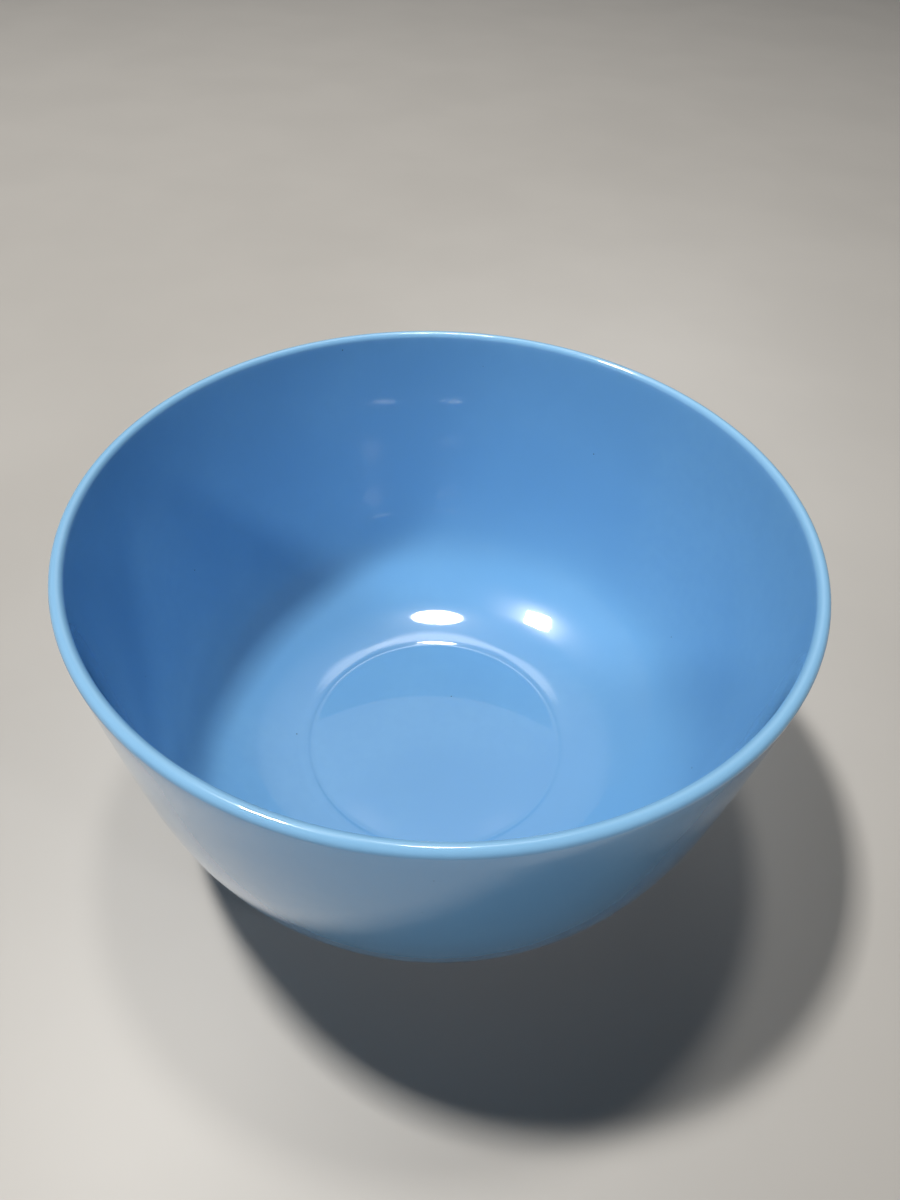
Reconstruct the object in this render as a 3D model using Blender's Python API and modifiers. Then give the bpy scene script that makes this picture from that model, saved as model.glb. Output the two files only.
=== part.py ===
# A deep, round serving bowl in glazed stoneware, in metres with +Z up.
# The origin is the centre of the circle that the foot ring rests on, and Z is the axis of the turning.
# Each piece is a half section in the XZ plane, turned about Z by a Screw modifier.

import math

import bpy
import numpy as np

# Overall size, glaze included
RIM_RADIUS = 0.120
HEIGHT = 0.127
LIP_THICKNESS = 0.0044
FOOT_WALL_THICKNESS = 0.0054

# Outer wall: one cubic curve from the lip down to the foot ring
RIM_FLARE = math.radians(6.0)
RIM_HANDLE = 0.0996
FOOT_CURVE_RADIUS = 0.0606
FOOT_CURVE_HEIGHT = 0.0029
FOOT_CURVE_SLOPE = math.radians(20.0)
FOOT_HANDLE = 0.0533

# Inside floor: a flat disc, a quick turn up at its edge, and a band that eases off before the wall
FLOOR_HEIGHT = 0.0074
FLOOR_RADIUS = 0.0494
CREASE_RADIUS = 0.0519
CREASE_RISE = 0.00032
CREASE_SLOPE = math.radians(18.0)
BAND_RADIUS = 0.0556
BAND_RISE = 0.00107
BAND_SLOPE = math.radians(9.0)
WALL_FOOT_SLOPE = math.radians(22.2)
TURN_UP_HANDLES = (0.0013, 0.0006)
BAND_HANDLES = (0.0009, 0.0015)
WALL_FOOT_HANDLES = (0.0019, 0.0066)

# Foot ring, in bare clay: its resting face is flat between two rounded edges
FOOT_OUTER_RADIUS = 0.0590
FOOT_INNER_RADIUS = 0.0516
FOOT_EDGE_RADIUS = 0.0010
WELL_HEIGHT = 0.0037
WELL_FILLET = 0.0012

# Glaze: a thin skin that ends just above the resting face
GLAZE_THICKNESS = 0.0004
BUILD_GAP = 0.0003
GLAZE_LINE_HEIGHT = 0.0016
FOOT_FILLET_HANDLE = 0.0006

# Fineness
TURN_STEPS = 60
WALL_SEGMENTS = 9
SHORT_SEGMENTS = 3
MERGE_DISTANCE = 0.00005

GLAZE_BLUE = (0.085, 0.300, 0.600, 1.0)
CLAY_BUFF = (0.620, 0.560, 0.480, 1.0)


def direction(angle):
    """The unit vector at this angle above +X, in the section's plane."""
    return np.array([math.cos(angle), math.sin(angle)])


def cubic(start, start_handle, end_handle, end, segments):
    """Points along a cubic curve. The handles are absolute points."""
    t = np.linspace(0.0, 1.0, segments + 1)[:, None]
    s = 1.0 - t
    return s**3 * start + 3 * s**2 * t * start_handle + 3 * s * t**2 * end_handle + t**3 * end


def eased(start, start_slope, end, end_slope, handle_lengths):
    """A short cubic curve between two points that leaves and arrives at these slopes."""
    start_handle = start + handle_lengths[0] * direction(start_slope)
    end_handle = end - handle_lengths[1] * direction(end_slope)
    return cubic(start, start_handle, end_handle, end, SHORT_SEGMENTS)


def arc(centre, radius, start_angle, end_angle, segments):
    angles = np.linspace(start_angle, end_angle, segments + 1)
    return np.array([centre + radius * direction(a) for a in angles])


def chain(*stretches):
    """Joins stretches end to end, keeping one of each pair of points that coincide."""
    points = [stretches[0][0]]
    for stretch in stretches:
        for point in stretch:
            if np.linalg.norm(point - points[-1]) > MERGE_DISTANCE:
                points.append(point)
    return np.array(points)


def left_normals(points):
    """For each point, the miter vector that moves the line one unit to the left of its run."""
    along = np.diff(points, axis=0)
    along /= np.linalg.norm(along, axis=1)[:, None]
    before = np.vstack([along[:1], along])
    after = np.vstack([along, along[-1:]])
    left_before = np.column_stack([-before[:, 1], before[:, 0]])
    left_after = np.column_stack([-after[:, 1], after[:, 0]])
    middle = left_before + left_after
    middle /= np.linalg.norm(middle, axis=1)[:, None]
    return middle / np.sum(middle * left_before, axis=1)[:, None]


def shifted(points, distance):
    """The line moved to the left of its run by distance, one number or one for each point."""
    moved = points + left_normals(points) * np.reshape(distance, (-1, 1))
    on_axis = np.isclose(points[:, 0], 0.0)
    moved[on_axis, 0] = 0.0
    return moved


def outer_wall():
    """From the lip's outer side down to the foot ring's fillet."""
    lip_radius = LIP_THICKNESS / 2
    lip_centre = np.array([RIM_RADIUS - lip_radius, HEIGHT - lip_radius])
    start = lip_centre + lip_radius * direction(-RIM_FLARE)
    end = np.array([FOOT_CURVE_RADIUS, FOOT_CURVE_HEIGHT])
    start_handle = start - RIM_HANDLE * direction(math.pi / 2 - RIM_FLARE)
    end_handle = end + FOOT_HANDLE * direction(FOOT_CURVE_SLOPE)
    return cubic(start, start_handle, end_handle, end, WALL_SEGMENTS)


def inner_wall():
    """From the lip's inner side down to the band, at a wall thickness that grows towards the foot."""
    outside = outer_wall()
    growth = np.linspace(LIP_THICKNESS, FOOT_WALL_THICKNESS, len(outside))
    inside = shifted(outside, -growth)
    return inside[:-1]


def lip():
    """The half round over the top, from the inner side to the outer side, with a point at its crown."""
    lip_radius = LIP_THICKNESS / 2
    centre = np.array([RIM_RADIUS - lip_radius, HEIGHT - lip_radius])
    inner_half = arc(centre, lip_radius, math.pi - RIM_FLARE, math.pi / 2, SHORT_SEGMENTS)
    outer_half = arc(centre, lip_radius, math.pi / 2, 0.0, SHORT_SEGMENTS)
    return chain(inner_half, outer_half)


def floor_and_band(wall_end):
    """From the axis over the flat floor, its turned-up edge and the band, up to the wall's last point."""
    axis_point = np.array([[0.0, FLOOR_HEIGHT]])
    floor_edge = np.array([FLOOR_RADIUS, FLOOR_HEIGHT])
    crease = np.array([CREASE_RADIUS, FLOOR_HEIGHT + CREASE_RISE])
    band_end = np.array([BAND_RADIUS, FLOOR_HEIGHT + BAND_RISE])
    turn_up = eased(floor_edge, 0.0, crease, CREASE_SLOPE, TURN_UP_HANDLES)
    band = eased(crease, CREASE_SLOPE, band_end, BAND_SLOPE, BAND_HANDLES)
    wall_foot = eased(band_end, BAND_SLOPE, wall_end, WALL_FOOT_SLOPE, WALL_FOOT_HANDLES)
    return chain(axis_point, turn_up, band, wall_foot)


def foot_fillet():
    """The glazed hollow between the wall and the foot ring's side, down to the glaze line."""
    start = np.array([FOOT_CURVE_RADIUS, FOOT_CURVE_HEIGHT])
    end = np.array([FOOT_OUTER_RADIUS + GLAZE_THICKNESS + BUILD_GAP, GLAZE_LINE_HEIGHT])
    return cubic(
        start,
        start - FOOT_FILLET_HANDLE * direction(FOOT_CURVE_SLOPE),
        end + FOOT_FILLET_HANDLE * direction(math.pi / 2),
        end,
        SHORT_SEGMENTS,
    )


def glazed_surface():
    """The finished surface: axis, floor, inner wall, lip, outer wall and foot fillet, in that order."""
    wall = inner_wall()
    floor = floor_and_band(wall[-1])
    return chain(floor, wall[::-1], lip(), outer_wall(), foot_fillet())


def foot_ring(start):
    """Bare clay from the glaze line round the foot ring and across its well, ending on the axis."""
    outer_centre = np.array([FOOT_OUTER_RADIUS - FOOT_EDGE_RADIUS, FOOT_EDGE_RADIUS])
    inner_centre = np.array([FOOT_INNER_RADIUS + FOOT_EDGE_RADIUS, FOOT_EDGE_RADIUS])
    outer_edge = arc(outer_centre, FOOT_EDGE_RADIUS, 0.0, -math.pi / 2, SHORT_SEGMENTS)
    inner_edge = arc(inner_centre, FOOT_EDGE_RADIUS, -math.pi / 2, -math.pi, SHORT_SEGMENTS)
    return chain([start], outer_edge, inner_edge, foot_well(inner_edge[-1]))


def foot_well(start):
    """The shallow hollow inside the foot ring, from its side to the axis."""
    fillet_centre = np.array([FOOT_INNER_RADIUS - WELL_FILLET, WELL_HEIGHT - WELL_FILLET])
    fillet = arc(fillet_centre, WELL_FILLET, 0.0, math.pi / 2, SHORT_SEGMENTS)
    return chain([start], fillet, [np.array([0.0, WELL_HEIGHT])])


def skin(near, far):
    """A thin closed section between two lines that end on the axis, with a rounded free edge."""
    free_edge = (near[0] + far[0]) / 2
    outward = near[0] - near[1]
    rounding = outward / np.linalg.norm(outward) * GLAZE_THICKNESS / 2
    return np.vstack([far[::-1], [free_edge + rounding], near])


def clay_section():
    under_glaze = shifted(glazed_surface(), -(GLAZE_THICKNESS + BUILD_GAP))
    return chain(under_glaze, foot_ring(under_glaze[-1]))


def glaze_section():
    surface = glazed_surface()[::-1]
    return skin(shifted(surface, GLAZE_THICKNESS), surface)


def well_glaze_section():
    clay_line = foot_well(np.array([FOOT_INNER_RADIUS, GLAZE_LINE_HEIGHT]))
    near = shifted(clay_line, BUILD_GAP)
    far = shifted(clay_line, BUILD_GAP + GLAZE_THICKNESS)
    return skin(near, far)[::-1]


def principled(name, colour, roughness):
    material = bpy.data.materials.new(name)
    material.use_nodes = True
    shader = material.node_tree.nodes["Principled BSDF"]
    shader.inputs["Base Color"].default_value = colour
    shader.inputs["Roughness"].default_value = roughness
    shader.inputs["Metallic"].default_value = 0.0
    material.diffuse_color = colour
    return material


def turned(name, section, material, collection):
    """A named object: the section as a line of edges, turned a full circle by a Screw modifier."""
    points = [(float(x), 0.0, float(z)) for x, z in section]
    edges = [(i, i + 1) for i in range(len(points) - 1)]
    mesh = bpy.data.meshes.new(name)
    mesh.from_pydata(points, edges, [])
    mesh.materials.append(material)
    piece = bpy.data.objects.new(name, mesh)
    collection.objects.link(piece)
    screw = piece.modifiers.new("turn", "SCREW")
    screw.axis = "Z"
    screw.steps = TURN_STEPS
    screw.render_steps = TURN_STEPS
    screw.use_smooth_shade = True
    screw.use_merge_vertices = True
    screw.merge_threshold = MERGE_DISTANCE
    return piece


def clear_scene():
    for existing in list(bpy.data.objects):
        bpy.data.objects.remove(existing, do_unlink=True)


def main():
    clear_scene()
    bowl = bpy.data.collections.new("bowl")
    bpy.context.scene.collection.children.link(bowl)
    turned("clay_body", clay_section(), principled("fired_clay", CLAY_BUFF, 0.75), bowl)
    turned("glaze_coat", glaze_section(), principled("blue_glaze", GLAZE_BLUE, 0.08), bowl)
    turned("foot_well_glaze", well_glaze_section(), principled("well_glaze", GLAZE_BLUE, 0.12), bowl)


main()
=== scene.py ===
import math

import bpy
from mathutils import Matrix, Vector


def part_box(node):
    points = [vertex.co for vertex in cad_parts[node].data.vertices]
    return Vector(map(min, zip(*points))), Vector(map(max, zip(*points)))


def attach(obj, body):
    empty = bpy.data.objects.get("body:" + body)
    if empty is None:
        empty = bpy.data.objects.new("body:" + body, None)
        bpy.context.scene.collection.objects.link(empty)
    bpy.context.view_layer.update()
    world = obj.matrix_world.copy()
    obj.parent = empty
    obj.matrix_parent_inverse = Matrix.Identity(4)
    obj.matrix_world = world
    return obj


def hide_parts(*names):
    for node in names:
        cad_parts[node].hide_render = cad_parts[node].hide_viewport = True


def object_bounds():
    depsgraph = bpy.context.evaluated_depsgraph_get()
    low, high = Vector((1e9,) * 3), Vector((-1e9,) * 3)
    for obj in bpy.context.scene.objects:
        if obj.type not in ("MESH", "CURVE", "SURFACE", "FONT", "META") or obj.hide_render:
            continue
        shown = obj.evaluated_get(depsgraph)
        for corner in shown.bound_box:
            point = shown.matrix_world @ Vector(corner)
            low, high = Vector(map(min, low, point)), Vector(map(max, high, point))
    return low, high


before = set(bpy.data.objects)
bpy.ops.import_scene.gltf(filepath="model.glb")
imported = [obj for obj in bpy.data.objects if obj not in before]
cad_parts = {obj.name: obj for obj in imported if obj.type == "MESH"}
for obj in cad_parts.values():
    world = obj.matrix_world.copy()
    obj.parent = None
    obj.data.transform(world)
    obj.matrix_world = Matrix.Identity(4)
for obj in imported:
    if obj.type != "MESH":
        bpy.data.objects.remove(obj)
cadLow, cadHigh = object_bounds()
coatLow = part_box("glaze_coat")[0]
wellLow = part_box("foot_well_glaze")[0]
mm = 0.001
mergeDistance = 0.02 * mm
print("frame loaded, bowl", round((cadHigh.x - cadLow.x) / mm, 1), "mm across")

# the turned shape, shared by the glaze and the clay under it
bowl = {
    "rimRadius": cadHigh.x,
    "height": cadHigh.z,
    "lipThickness": 4.4 * mm,
    "footWallThickness": 5.4 * mm,
    "rimFlare": 6.0,            # degrees off vertical just under the lip
    "rimHandle": 99.6 * mm,     # how far the wall runs almost straight
    "footCurveRadius": 60.6 * mm,
    "footCurveHeight": 2.9 * mm,
    "footCurveSlope": 20.0,
    "footHandle": 53.3 * mm,    # how full the belly is
    "innerWallShare": 8 / 9,    # the inner wall stops at this share of the curve
    "floorHeight": 7.4 * mm,
    "floorRadius": 49.4 * mm,
    "creaseRadius": 51.9 * mm,  # the floor's edge turns up here
    "creaseRise": 0.32 * mm,
    "creaseSlope": 18.0,
    "creaseHandles": (1.3 * mm, 0.6 * mm),  # pull of the curve at its two ends
    "bandRadius": 55.6 * mm,    # and eases off here, before the wall begins
    "bandRise": 1.07 * mm,
    "bandSlope": 9.0,
    "bandHandles": (0.9 * mm, 1.5 * mm),
    "wallFootHandles": (1.9 * mm, 6.6 * mm),
    "centreRadius": 6.0 * mm,   # the low swell that turning leaves in the middle
    "centreRise": 0.03 * mm,
    "turnSteps": 240,
}

# points along each stretch of the half section
counts = {
    "centre": 8,
    "flat": 10,
    "turnUp": 10,
    "band": 12,
    "wallFoot": 18,
    "wall": 44,
    "lip": 9,
    "round": 6,
    "roll": 8,
}


def unit(degrees):
    return Vector((math.cos(math.radians(degrees)), math.sin(math.radians(degrees))))


def cubic(start, startHandle, endHandle, end, t):
    s = 1 - t
    point = s**3 * start + 3 * s * s * t * startHandle + 3 * s * t * t * endHandle + t**3 * end
    along = s * s * (startHandle - start) + t * t * (end - endHandle)
    along += 2 * s * t * (endHandle - startHandle)
    return point, along.normalized()


def cubicLine(start, startHandle, endHandle, end, count):
    return [cubic(start, startHandle, endHandle, end, i / count)[0] for i in range(count + 1)]


def arcLine(centre, radius, startDegrees, endDegrees, count):
    turn = (endDegrees - startDegrees) / count
    return [centre + radius * unit(startDegrees + turn * i) for i in range(count + 1)]


def joined(*lines):
    points = [lines[0][0]]
    for line in lines:
        points += [p for p in line if (p - points[-1]).length > mergeDistance]
    return points


def leftOf(line, distance):
    # the same line moved sideways, with points on the axis kept on it
    moved = []
    for i, point in enumerate(line):
        before = line[max(i - 1, 0)]
        after = line[min(i + 1, len(line) - 1)]
        along = (after - before).normalized()
        side = point + distance * Vector((-along.y, along.x))
        if point.x < 0.001 * mm:
            side.x = 0
        moved.append(side)
    return moved


def lipRound():
    # the centre and radius of the half round along the rim
    radius = bowl["lipThickness"] / 2
    return Vector((bowl["rimRadius"] - radius, bowl["height"] - radius)), radius


def outerWall(count, insideBy=None):
    # lip to foot; insideBy gives the wall thickness at the two ends
    lipCentre, lipRadius = lipRound()
    start = lipCentre + lipRadius * unit(-bowl["rimFlare"])
    end = Vector((bowl["footCurveRadius"], bowl["footCurveHeight"]))
    startHandle = start - bowl["rimHandle"] * unit(90 - bowl["rimFlare"])
    endHandle = end + bowl["footHandle"] * unit(bowl["footCurveSlope"])
    points = []
    last = 1.0 if insideBy is None else bowl["innerWallShare"]
    for i in range(count + 1):
        t = last * i / count
        point, along = cubic(start, startHandle, endHandle, end, t)
        if insideBy:
            thickness = insideBy[0] + (insideBy[1] - insideBy[0]) * t
            point = point + thickness * Vector((along.y, -along.x))
        points.append(point)
    return points


def eased(start, startSlope, end, endSlope, handles, count):
    startHandle = start + handles[0] * unit(startSlope)
    endHandle = end - handles[1] * unit(endSlope)
    return cubicLine(start, startHandle, endHandle, end, count)


def floorLine(wallEnd, wallSlope):
    # axis, flat floor, quick turn up, easing band, and up to the wall
    floorEdge = Vector((bowl["floorRadius"], bowl["floorHeight"]))
    crease = Vector((bowl["creaseRadius"], bowl["floorHeight"] + bowl["creaseRise"]))
    bandEnd = Vector((bowl["bandRadius"], bowl["floorHeight"] + bowl["bandRise"]))
    centreEdge = Vector((bowl["centreRadius"], bowl["floorHeight"]))
    shares = [i / counts["centre"] for i in range(counts["centre"])]
    centre = [Vector((bowl["centreRadius"] * share, swell(share))) for share in shares]
    flat = [centreEdge.lerp(floorEdge, i / counts["flat"]) for i in range(counts["flat"] + 1)]
    creaseSlope = bowl["creaseSlope"]
    bandSlope = bowl["bandSlope"]
    turnUp = eased(floorEdge, 0, crease, creaseSlope, bowl["creaseHandles"], counts["turnUp"])
    band = eased(crease, creaseSlope, bandEnd, bandSlope, bowl["bandHandles"], counts["band"])
    wallFoot = eased(bandEnd, bandSlope, wallEnd, wallSlope, bowl["wallFootHandles"], counts["wallFoot"])
    return joined(centre, flat, turnUp, band, wallFoot)


def swell(t):
    return bowl["floorHeight"] + bowl["centreRise"] * (1 + math.cos(math.pi * t)) / 2


def lipLine():
    lipCentre, lipRadius = lipRound()
    inner = arcLine(lipCentre, lipRadius, 180 - bowl["rimFlare"], 90, counts["lip"])
    outer = arcLine(lipCentre, lipRadius, 90, -bowl["rimFlare"], counts["lip"] + 1)
    return joined(inner, outer)


def glazedLine():
    # the finished surface from the middle of the floor to the end of the outer wall
    inside = outerWall(counts["wall"], insideBy=(bowl["lipThickness"], bowl["footWallThickness"]))[::-1]
    rise = inside[1] - inside[0]
    wallSlope = math.degrees(math.atan2(rise.y, rise.x))
    return joined(floorLine(inside[0], wallSlope), inside, lipLine(), outerWall(counts["wall"]))


# modelling helpers
def deselectAll():
    if bpy.context.mode != "OBJECT":
        bpy.ops.object.mode_set(mode="OBJECT")
    bpy.ops.object.select_all(action="DESELECT")


def turned(name, line, steps):
    # a small plane is merged to one point, drawn out along the half section and spun about Z
    deselectAll()
    first = line[0]
    bpy.ops.mesh.primitive_plane_add(size=1 * mm, location=(first.x, 0, first.y))
    piece = bpy.context.object
    piece.name = name
    bpy.ops.object.mode_set(mode="EDIT")
    bpy.ops.mesh.select_mode(type="VERT")
    bpy.ops.mesh.select_all(action="SELECT")
    bpy.ops.mesh.merge(type="CENTER")
    for before, after in zip(line, line[1:]):
        move = after - before
        bpy.ops.mesh.extrude_region_move(TRANSFORM_OT_translate={"value": (move.x, 0, move.y)})
    bpy.ops.mesh.select_all(action="SELECT")
    bpy.ops.mesh.spin(steps=steps, angle=math.radians(360), center=(0, 0, 0), axis=(0, 0, 1))
    bpy.ops.mesh.select_all(action="SELECT")
    bpy.ops.mesh.remove_doubles(threshold=0.01 * mm)
    bpy.ops.mesh.normals_make_consistent(inside=False)
    bpy.ops.object.mode_set(mode="OBJECT")
    bpy.ops.object.transform_apply(location=True, rotation=True, scale=True)
    bpy.ops.object.shade_smooth()
    return piece


def unevenness(piece, size, depth):
    # a slow hand-made waviness that only ever moves the surface inwards
    clouds = bpy.data.textures.new(piece.name + "Clouds", "CLOUDS")
    clouds.noise_scale = size
    clouds.noise_depth = 0
    wave = piece.modifiers.new("unevenness", "DISPLACE")
    wave.texture = clouds
    wave.texture_coords = "LOCAL"
    wave.strength = depth
    wave.mid_level = 1.0
    bpy.context.view_layer.objects.active = piece
    bpy.ops.object.modifier_apply(modifier=wave.name)


# materials
def newMaterial(name):
    material = bpy.data.materials.new(name)
    material.use_nodes = True
    tree = material.node_tree
    return material, tree, tree.nodes["Principled BSDF"]


def addNode(tree, kind, place, **settings):
    node = tree.nodes.new(kind)
    node.location = place
    for key, value in settings.items():
        setattr(node, key, value)
    return node


def noise(tree, coords, place, scale, detail=2.0, roughness=0.5):
    node = addNode(tree, "ShaderNodeTexNoise", place)
    node.inputs["Scale"].default_value = scale
    node.inputs["Detail"].default_value = detail
    node.inputs["Roughness"].default_value = roughness
    tree.links.new(coords, node.inputs["Vector"])
    return node.outputs["Fac"]


def remap(tree, value, place, low, high, toLow=0.0, toHigh=1.0):
    node = addNode(tree, "ShaderNodeMapRange", place)
    node.interpolation_type = "SMOOTHSTEP"
    node.inputs["From Min"].default_value = low
    node.inputs["From Max"].default_value = high
    node.inputs["To Min"].default_value = toLow
    node.inputs["To Max"].default_value = toHigh
    tree.links.new(value, node.inputs["Value"])
    return node.outputs["Result"]


def maths(tree, operation, place, first, second):
    node = addNode(tree, "ShaderNodeMath", place, operation=operation)
    for socket, value in zip(node.inputs, (first, second)):
        if isinstance(value, (int, float)):
            socket.default_value = value
        else:
            tree.links.new(value, socket)
    return node.outputs["Value"]


def mixColour(tree, factor, place, first, second, blend="MIX"):
    node = addNode(tree, "ShaderNodeMix", place, data_type="RGBA", blend_type=blend)
    tree.links.new(factor, node.inputs["Factor"])
    for socket, value in ((node.inputs[6], first), (node.inputs[7], second)):
        if isinstance(value, tuple):
            socket.default_value = (*value, 1.0)
        else:
            tree.links.new(value, socket)
    return node.outputs[2]


def bump(tree, height, place, distance, below=None):
    node = addNode(tree, "ShaderNodeBump", place)
    node.inputs["Strength"].default_value = 1.0
    node.inputs["Distance"].default_value = distance
    tree.links.new(height, node.inputs["Height"])
    if below:
        tree.links.new(below, node.inputs["Normal"])
    return node.outputs["Normal"]


def dots(tree, coords, place, spacing, radius, softness=0.5):
    # sparse round dots of this radius, on average one for each cube of this spacing
    node = addNode(tree, "ShaderNodeTexVoronoi", place, feature="F1")
    node.inputs["Scale"].default_value = 1 / spacing
    node.inputs["Randomness"].default_value = 1.0
    tree.links.new(coords, node.inputs["Vector"])
    edge = radius / spacing
    beside = (place[0] + 200, place[1])
    return remap(tree, node.outputs["Distance"], beside, edge * softness, edge, 1.0, 0.0)


glaze = {
    "blue": (0.164, 0.392, 0.668),
    "deepBlue": (0.145, 0.362, 0.643),
    # the lip crown's pale blue, partly thin glaze and partly painted light on the lit top of the lip
    "thinLitBlue": (0.290, 0.550, 0.800),
    "speck": (0.035, 0.060, 0.090),
    "cloudSize": 70 * mm,
    "mottleSize": 5 * mm,
    "speckSpacing": 15 * mm,
    "speckRadius": 0.35 * mm,
    "pinholeSpacing": 9 * mm,
    "pinholeRadius": 0.30 * mm,
    "pinholeDepth": 0.03 * mm,
    "waveSize": 26 * mm,
    "waveDepth": 0.006 * mm,
    "peelSize": 3.2 * mm,
    "peelDepth": 0.0012 * mm,
    "lipFade": 3.0 * mm,        # how far below the crown the glaze begins to pale, from thinning and from painted light on the lit top
    "lipFull": 0.8 * mm,        # and how far past the crown it would be palest
    # how far the crown goes toward that pale blue, partly thin glaze and partly painted light
    "lipThinAndLit": 0.55,
    "raggedSize": 6 * mm,       # the pale crown's uneven edge
    "raggedDepth": 1.2 * mm,
    "roughSize": 18 * mm,
    "roughLow": 0.18,           # the soft glow round each highlight
    "roughHigh": 0.24,
    "index": 1.50,
    "underShine": 0.12,
    "topSkin": 0.9,             # the clear skin on top, which carries the sharp highlights
    "polish": 0.035,
}


def glazeMaterial():
    material, tree, shader = newMaterial("blueGlaze")
    coords = addNode(tree, "ShaderNodeTexCoord", (-1700, 0)).outputs["Object"]
    split = addNode(tree, "ShaderNodeSeparateXYZ", (-1500, 400))
    tree.links.new(coords, split.inputs["Vector"])

    # slow clouds of deeper and paler blue, then a fine mottle
    cloudNoise = noise(tree, coords, (-1500, 200), 1 / glaze["cloudSize"], 3)
    clouds = remap(tree, cloudNoise, (-1300, 200), 0.35, 0.65)
    mottleNoise = noise(tree, coords, (-1500, 0), 1 / glaze["mottleSize"], 3)
    mottle = remap(tree, mottleNoise, (-1300, 0), 0.3, 0.7, 0.0, 0.35)
    tone = mixColour(tree, clouds, (-1050, 200), glaze["blue"], glaze["deepBlue"])
    tone = mixColour(tree, mottle, (-850, 200), tone, glaze["deepBlue"])

    # paler over the crown of the lip: partly thinner glaze, partly a painted highlight where the top of
    # the lip catches the light
    raggedNoise = noise(tree, coords, (-1500, 650), 1 / glaze["raggedSize"], 2)
    ragged = maths(tree, "MULTIPLY", (-1300, 600), raggedNoise, glaze["raggedDepth"])
    crown = maths(tree, "ADD", (-1150, 550), split.outputs["Z"], ragged)
    thinLitFrom = bowl["height"] - glaze["lipFade"]
    thinLitTo = bowl["height"] + glaze["lipFull"]
    thinLitCrown = remap(tree, crown, (-1000, 550), thinLitFrom, thinLitTo, 0.0, glaze["lipThinAndLit"])
    tone = mixColour(tree, thinLitCrown, (-650, 250), tone, glaze["thinLitBlue"])

    # a few iron specks and pinholes
    specks = dots(tree, coords, (-1500, -250), glaze["speckSpacing"], glaze["speckRadius"])
    tone = mixColour(tree, specks, (-450, 250), tone, glaze["speck"])
    tree.links.new(tone, shader.inputs["Base Color"])

    roughNoise = noise(tree, coords, (-1500, -500), 1 / glaze["roughSize"], 4)
    rough = remap(tree, roughNoise, (-1300, -500), 0.3, 0.7, glaze["roughLow"], glaze["roughHigh"])
    tree.links.new(rough, shader.inputs["Roughness"])

    # slow waves, a fine orange peel and the pinholes, one over the other
    waveNoise = noise(tree, coords, (-1500, -700), 1 / glaze["waveSize"], 1)
    wave = bump(tree, waveNoise, (-1000, -700), glaze["waveDepth"])
    peelNoise = noise(tree, coords, (-1500, -900), 1 / glaze["peelSize"], 1)
    peel = bump(tree, peelNoise, (-800, -800), glaze["peelDepth"], wave)
    pinholes = dots(tree, coords, (-1500, -1100), glaze["pinholeSpacing"], glaze["pinholeRadius"], 0.1)
    sunk = maths(tree, "MULTIPLY", (-1050, -1100), pinholes, -1.0)
    holes = bump(tree, sunk, (-600, -900), glaze["pinholeDepth"], peel)
    tree.links.new(holes, shader.inputs["Normal"])
    tree.links.new(holes, shader.inputs["Coat Normal"])

    shader.inputs["IOR"].default_value = glaze["index"]
    shader.inputs["Specular IOR Level"].default_value = glaze["underShine"]
    shader.inputs["Coat Weight"].default_value = glaze["topSkin"]
    shader.inputs["Coat Roughness"].default_value = glaze["polish"]
    shader.inputs["Coat IOR"].default_value = glaze["index"]
    return material


clay = {
    "buff": (0.560, 0.470, 0.360),
    "pale": (0.680, 0.600, 0.480),
    "iron": (0.180, 0.095, 0.045),
    "rubbed": (0.330, 0.300, 0.270),
    "grainSize": 0.7 * mm,
    "grainDepth": 0.05 * mm,
    "ironSpacing": 1.8 * mm,
    "ironRadius": 0.35 * mm,
    "patchSize": 22 * mm,
    "scuffSize": 3 * mm,
    "wornBelow": 0.35 * mm,     # the wear fades out at this height above the table
    "wornRoughness": 0.6,
    "roughness": 0.85,
    "shine": 0.35,
}


def clayMaterial():
    material, tree, shader = newMaterial("bareClay")
    coords = addNode(tree, "ShaderNodeTexCoord", (-1500, 0)).outputs["Object"]
    split = addNode(tree, "ShaderNodeSeparateXYZ", (-1300, 400))
    tree.links.new(coords, split.inputs["Vector"])
    grain = noise(tree, coords, (-1300, 200), 1 / clay["grainSize"], 4, 0.6)
    paleness = remap(tree, grain, (-1100, 200), 0.3, 0.7)
    tone = mixColour(tree, paleness, (-850, 200), clay["buff"], clay["pale"])
    patches = noise(tree, coords, (-1300, 0), 1 / clay["patchSize"], 3)
    stain = remap(tree, patches, (-1100, 0), 0.45, 0.75, 0.0, 0.35)
    tone = mixColour(tree, stain, (-650, 200), tone, clay["iron"])
    iron = dots(tree, coords, (-1300, -250), clay["ironSpacing"], clay["ironRadius"])
    tone = mixColour(tree, iron, (-450, 200), tone, clay["iron"])

    # greyed where the foot has stood and slid
    low = remap(tree, split.outputs["Z"], (-1100, 500), 0.0, clay["wornBelow"], 1.0, 0.0)
    scuffNoise = noise(tree, coords, (-1300, 650), 1 / clay["scuffSize"], 5, 0.7)
    scuffs = remap(tree, scuffNoise, (-1100, 650), 0.4, 0.65, 0.15, 0.75)
    worn = maths(tree, "MULTIPLY", (-900, 550), low, scuffs)
    tone = mixColour(tree, worn, (-250, 200), tone, clay["rubbed"])
    tree.links.new(tone, shader.inputs["Base Color"])
    rough = remap(tree, worn, (-850, -100), 0.0, 1.0, clay["roughness"], clay["wornRoughness"])
    tree.links.new(rough, shader.inputs["Roughness"])
    coarse = bump(tree, grain, (-800, -400), clay["grainDepth"])
    tree.links.new(coarse, shader.inputs["Normal"])
    shader.inputs["Specular IOR Level"].default_value = clay["shine"]
    return material


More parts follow.
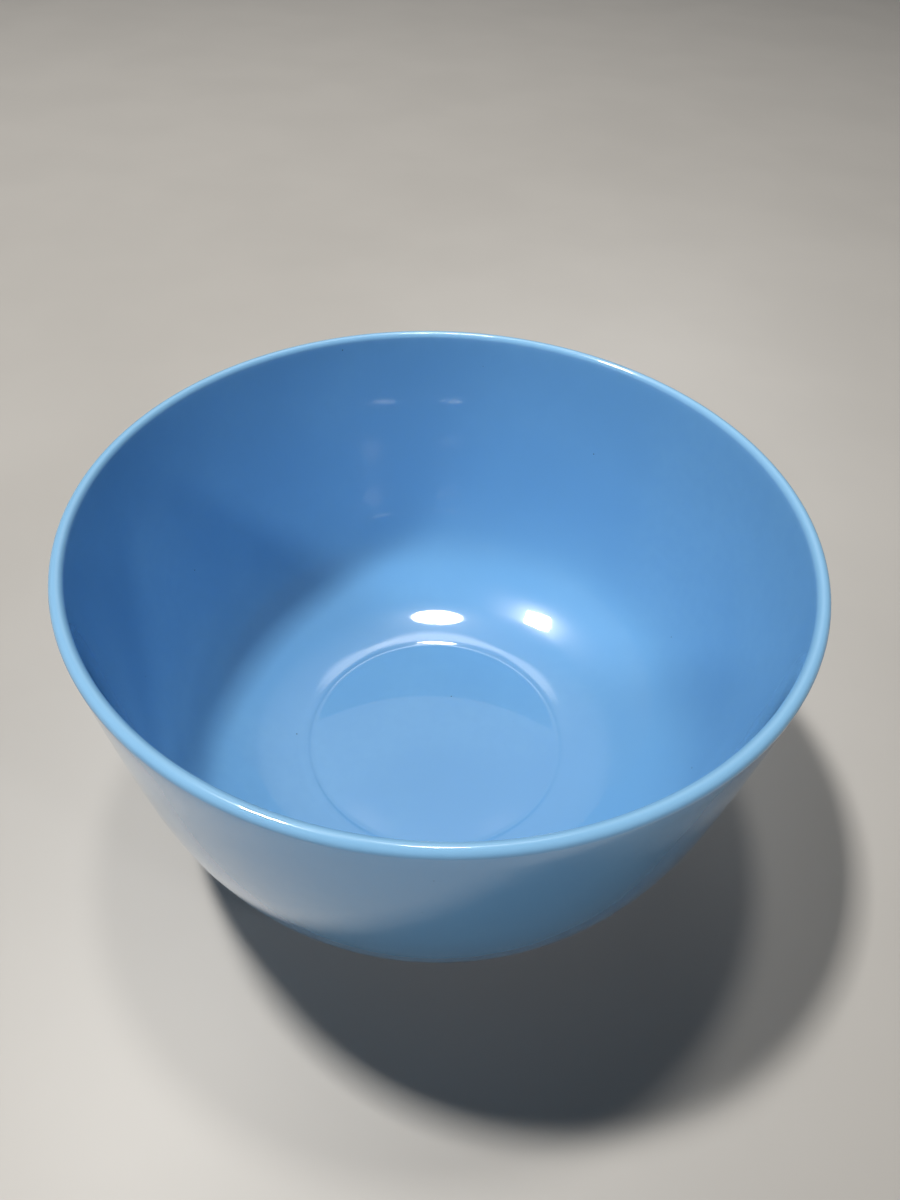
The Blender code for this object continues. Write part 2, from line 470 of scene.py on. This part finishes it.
# the glaze over the floor, walls and lip, ending in a rolled edge above the foot
coat = {
    "thickness": 0.4 * mm,
    "gap": 0.3 * mm,
    "edgeHeight": coatLow.z,
    "footRadius": 59.0 * mm,
    "filletReach": 0.6 * mm,
    "rollHeight": 0.5 * mm,     # the last of the glaze thickens into a small roll
    "rollBulge": 0.12 * mm,
    "rollDrop": 0.45 * mm,
    "rollReach": 0.5 * mm,
    "tuckIn": 0.05 * mm,        # its end lies this far inside the ring's side
    "waveSize": 80 * mm,
    "waveDepth": 0.05 * mm,
}


def coatLine():
    surface = glazedLine()
    side = coat["footRadius"] + coat["gap"] + coat["thickness"]
    start = surface[-1]
    end = Vector((side, coat["edgeHeight"] + coat["rollHeight"]))
    startHandle = start - coat["filletReach"] * unit(bowl["footCurveSlope"])
    endHandle = end + coat["filletReach"] * unit(90)
    fillet = cubicLine(start, startHandle, endHandle, end, counts["roll"])

    # the edge swells a little, then turns under to meet the clay
    under = Vector((coat["footRadius"] - coat["tuckIn"], coat["edgeHeight"]))
    bulge = end + Vector((coat["rollBulge"], -coat["rollDrop"]))
    roll = cubicLine(end, bulge, under + Vector((coat["rollReach"], 0)), under, counts["roll"])
    outside = joined(surface, fillet, roll)
    behind = leftOf(joined(surface, fillet), -coat["thickness"])[::-1]
    return outside + behind


def makeCoat(material):
    piece = turned("blueGlazeCoat", coatLine(), bowl["turnSteps"])
    unevenness(piece, coat["waveSize"], coat["waveDepth"])
    piece.data.materials.append(material)
    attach(piece, "root")
    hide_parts("glaze_coat")
    print("glaze coat made,", len(piece.data.polygons), "faces")
    return piece


# the fired body, bare only at the foot ring
body = {
    "underGlaze": 0.45 * mm,    # depth of the clay below the glaze's surface
    "footOuter": coat["footRadius"],
    "footInner": 51.6 * mm,
    "edgeRound": 1.0 * mm,
    "wellHeight": 3.7 * mm,
    "wellFillet": 1.2 * mm,
    "neckRise": 0.1 * mm,       # the ring's side starts this far above the end of the wall
    "bareRise": 0.3 * mm,       # and is divided this far above the glaze's edge
}


def wellLine():
    # up the inner side of the foot ring and in to the axis
    centre = Vector((body["footInner"] - body["wellFillet"], body["wellHeight"] - body["wellFillet"]))
    fillet = arcLine(centre, body["wellFillet"], 0, 90, counts["round"])
    middle = Vector((0, body["wellHeight"]))
    ceiling = [fillet[-1].lerp(middle, i / counts["flat"]) for i in range(counts["flat"] + 1)]
    return joined(fillet, ceiling)


def bodyLine():
    # under the glaze all the way to the foot, then bare round the foot ring and into the well
    hidden = leftOf(glazedLine(), -body["underGlaze"])
    neck = Vector((body["footOuter"], bowl["footCurveHeight"] + body["neckRise"]))
    bareTop = Vector((body["footOuter"], coat["edgeHeight"] + body["bareRise"]))
    edge = body["edgeRound"]
    outerEdge = arcLine(Vector((body["footOuter"] - edge, edge)), edge, 0, -90, counts["round"])
    innerEdge = arcLine(Vector((body["footInner"] + edge, edge)), edge, -90, -180, counts["round"])
    return joined(hidden, [neck, bareTop], outerEdge, innerEdge, wellLine())


def makeBody(material):
    piece = turned("stonewareBody", bodyLine(), bowl["turnSteps"])
    piece.data.materials.append(material)
    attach(piece, "root")
    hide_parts("clay_body")
    print("clay body made,", len(piece.data.polygons), "faces")
    return piece


# the glaze in the shallow well inside the foot ring
wellGlaze = {
    "clear": 0.02 * mm,         # off the clay
    "edgeDrop": 0.6 * mm,       # how far its free edge reaches below the CAD's
    "edgeThickness": 0.15 * mm,
    "edgeSlant": 0.05 * mm,
}


def makeWellGlaze(material):
    near = leftOf(wellLine(), wellGlaze["clear"])
    far = leftOf(wellLine(), coat["gap"] + coat["thickness"])
    edgeHeight = wellLow.z - wellGlaze["edgeDrop"]
    edgeX = near[0].x
    near.insert(0, Vector((edgeX, edgeHeight)))
    far.insert(0, Vector((edgeX - wellGlaze["edgeThickness"], edgeHeight + wellGlaze["edgeSlant"])))
    piece = turned("footWellGlaze", far[::-1] + near, bowl["turnSteps"])
    piece.data.materials.append(material)
    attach(piece, "root")
    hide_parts("foot_well_glaze")
    print("foot well glaze made,", len(piece.data.polygons), "faces")
    return piece


glazeFinish = glazeMaterial()
makeCoat(glazeFinish)
makeBody(clayMaterial())
makeWellGlaze(glazeFinish)

# studio
studio = {
    "floorSize": 8.0,
    "floorColour": (0.49, 0.48, 0.465),
    "floorRoughness": 0.45,
    "toneScale": 9.0,
    "toneLift": 1.04,           # how much paler the floor's pale patches are
    "airColour": (0.90, 0.95, 1.00),
    "airStrength": 0.11,
}

warmWhite = (1.0, 0.98, 0.96)
coolWhite = (0.88, 0.94, 1.0)
lampWhite = (1.0, 0.96, 0.90)
spotWhite = (0.96, 0.98, 1.0)

# soft round glows in the studio's air, full within "full" degrees and gone by "fade" degrees
glows = {
    "highGlow": {
        "towards": (0.0, 0.39, 0.92), "full": 1, "fade": 6, "strength": 6.5, "colour": warmWhite,
    },
    "highRightGlow": {
        "towards": (0.10, 0.455, 0.884), "full": 1, "fade": 5, "strength": 4.0, "colour": warmWhite,
    },
    "highLeftGlow": {
        "towards": (-0.11, 0.455, 0.884), "full": 1, "fade": 5, "strength": 4.0, "colour": warmWhite,
    },
    "backGlow": {
        "towards": (0.0, 0.64, 0.77), "full": 9, "fade": 27, "strength": 0.85, "colour": warmWhite,
    },
    "leftGlow": {
        "towards": (-0.85, 0.05, 0.52), "full": 8, "fade": 45, "strength": 0.30, "colour": coolWhite,
    },
}

lights = {
    "roundLamp": {
        "kind": "AREA", "shape": "DISK", "size": 0.26, "watts": 11.0, "colour": lampWhite,
        "place": (0.007, 0.570, 2.355), "aim": (0, 0, 0.02),
    },
    "squareLamp": {
        "kind": "AREA", "shape": "SQUARE", "size": 0.20, "watts": 46.0, "colour": lampWhite,
        "place": (-0.716, 0.299, 2.278), "aim": (0, 0, 0.02),
    },
    "bowlSpot": {
        "kind": "SPOT", "cone": 13.2, "radius": 0.16, "watts": 76.0, "colour": spotWhite,
        "place": (-0.36, -1.00, 0.87), "aim": (0.03, 0.07, 0.105),
    },
    "leftSpot": {
        "kind": "SPOT", "cone": 11.0, "radius": 0.15, "watts": 20.0, "colour": spotWhite,
        "place": (0.75, -0.55, 0.75), "aim": (-0.085, 0.03, 0.060),
    },
}

camera = {
    "lens": 26.25,
    "filmSize": 36.0,
    "place": (3.1 * mm, -217.5 * mm, 304.8 * mm),
    "down": 44.95,              # degrees below the horizon
    "roll": 2.98,
}


def makeFloor():
    deselectAll()
    bpy.ops.mesh.primitive_plane_add(size=studio["floorSize"], location=(0, 0, 0))
    floor = bpy.context.object
    floor.name = "studioFloor"
    material, tree, shader = newMaterial("paleFloor")
    coords = addNode(tree, "ShaderNodeTexCoord", (-900, 0)).outputs["Object"]
    tone = remap(tree, noise(tree, coords, (-700, 0), studio["toneScale"], 4), (-500, 0), 0.3, 0.7)
    pale = tuple(c * studio["toneLift"] for c in studio["floorColour"])
    colour = mixColour(tree, tone, (-300, 0), studio["floorColour"], pale)
    tree.links.new(colour, shader.inputs["Base Color"])
    shader.inputs["Roughness"].default_value = studio["floorRoughness"]
    floor.data.materials.append(material)


def makeLights():
    for name, values in lights.items():
        lamp = bpy.data.lights.new(name, values["kind"])
        lamp.energy = values["watts"]
        lamp.color = values["colour"]
        if values["kind"] == "AREA":
            lamp.shape = values["shape"]
            lamp.size = values["size"]
        else:
            lamp.spot_size = math.radians(values["cone"])
            lamp.spot_blend = 1.0
            lamp.shadow_soft_size = values["radius"]
        holder = bpy.data.objects.new(name, lamp)
        bpy.context.scene.collection.objects.link(holder)
        holder.visible_glossy = values["kind"] == "AREA"
        holder.location = values["place"]
        beam = Vector(values["aim"]) - holder.location
        holder.rotation_euler = beam.to_track_quat("-Z", "Y").to_euler()


def makeAir():
    # a dim even sky with the soft glows added to it
    world = bpy.data.worlds.new("studioAir")
    world.use_nodes = True
    tree = world.node_tree
    background = tree.nodes["Background"]
    background.inputs["Strength"].default_value = 1.0
    direction = addNode(tree, "ShaderNodeTexCoord", (-1400, 0)).outputs["Generated"]
    total = tuple(studio["airStrength"] * c for c in studio["airColour"])
    for step, values in enumerate(glows.values()):
        place = (-1100 + 300 * step, -300 * step)
        facing = addNode(tree, "ShaderNodeVectorMath", place, operation="DOT_PRODUCT")
        tree.links.new(direction, facing.inputs[0])
        facing.inputs[1].default_value = Vector(values["towards"]).normalized()
        edge = math.cos(math.radians(values["fade"]))
        core = math.cos(math.radians(values["full"]))
        amount = remap(tree, facing.outputs["Value"], (place[0] + 150, place[1]), edge, core)
        bright = tuple(values["strength"] * c for c in values["colour"])
        total = mixColour(tree, amount, (place[0] + 300, place[1]), total, bright, "ADD")
    tree.links.new(total, background.inputs["Color"])
    world.cycles_visibility.diffuse = False  # the glows only show as reflections in the glaze
    bpy.context.scene.world = world


def makeCamera():
    lensData = bpy.data.cameras.new("viewCamera")
    lensData.sensor_fit = "AUTO"
    lensData.sensor_width = camera["filmSize"]
    lensData.lens = camera["lens"]
    lensData.clip_start = 0.01
    holder = bpy.data.objects.new("viewCamera", lensData)
    bpy.context.scene.collection.objects.link(holder)
    holder.location = camera["place"]
    tilt = Matrix.Rotation(math.radians(90 - camera["down"]), 3, "X")
    roll = Matrix.Rotation(math.radians(camera["roll"]), 3, "Z")
    holder.rotation_euler = (tilt @ roll).to_euler()
    bpy.context.scene.camera = holder


makeFloor()
makeLights()
makeAir()
makeCamera()
bpy.context.scene.view_settings.view_transform = "Standard"
print("studio made")
